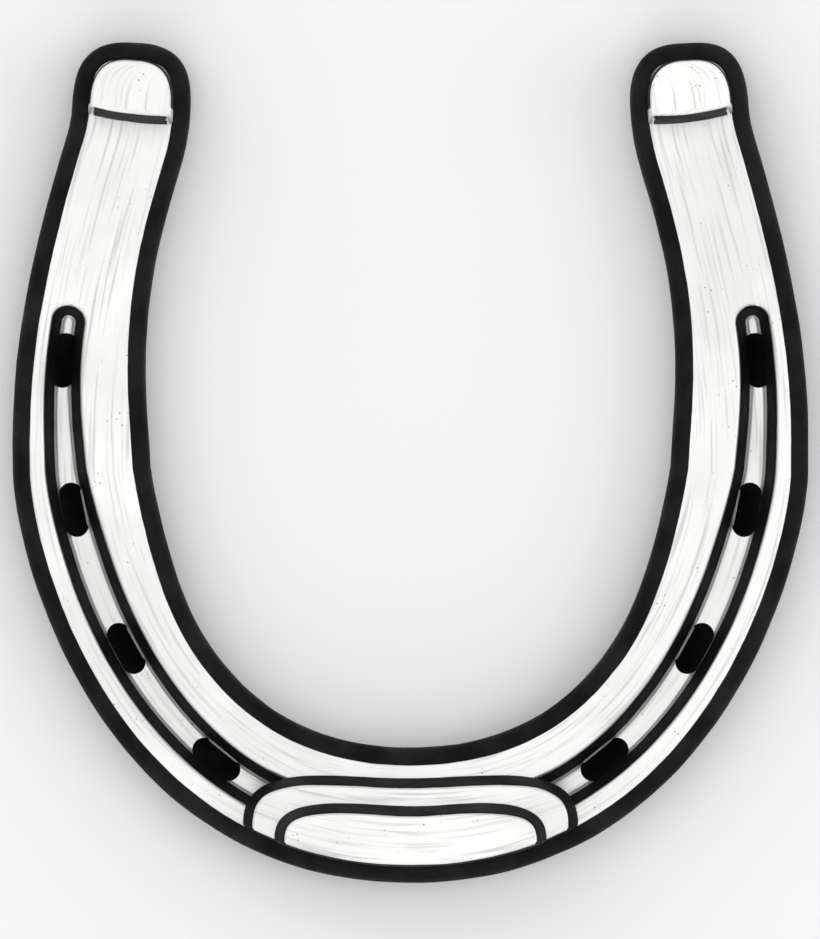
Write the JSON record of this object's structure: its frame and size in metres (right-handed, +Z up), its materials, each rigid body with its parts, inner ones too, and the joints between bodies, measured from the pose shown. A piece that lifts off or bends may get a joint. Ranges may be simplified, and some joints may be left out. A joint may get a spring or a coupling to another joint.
{
  "type": "horseshoe",
  "caption": "Fullered steel horseshoe with a two-step toe piece and a raised calk on each heel, ground side up.",
  "frame": {"origin": "middle of the shoe's outline, on the plane of its hoof face", "axes": "+Z up out of the ground side, +Y from toe to heels, +X to the right branch as seen from the ground side with the toe nearest"},
  "size_m": [0.13, 0.1372, 0.019],
  "materials": {
    "shoe_steel": "ground faces bright and brushed, edges and crease with dark forge scale",
    "plate_steel": "ground top, dark scale on its walls",
    "calk_steel": "ground top, dark scale on its walls"
  },
  "bodies": {
    "root": {"shoe_body": "shoe_steel", "toe_plate": "plate_steel", "toe_grab": "calk_steel", "heel_calk_left": "calk_steel", "heel_calk_right": "calk_steel"}
  },
  "joints": []
}
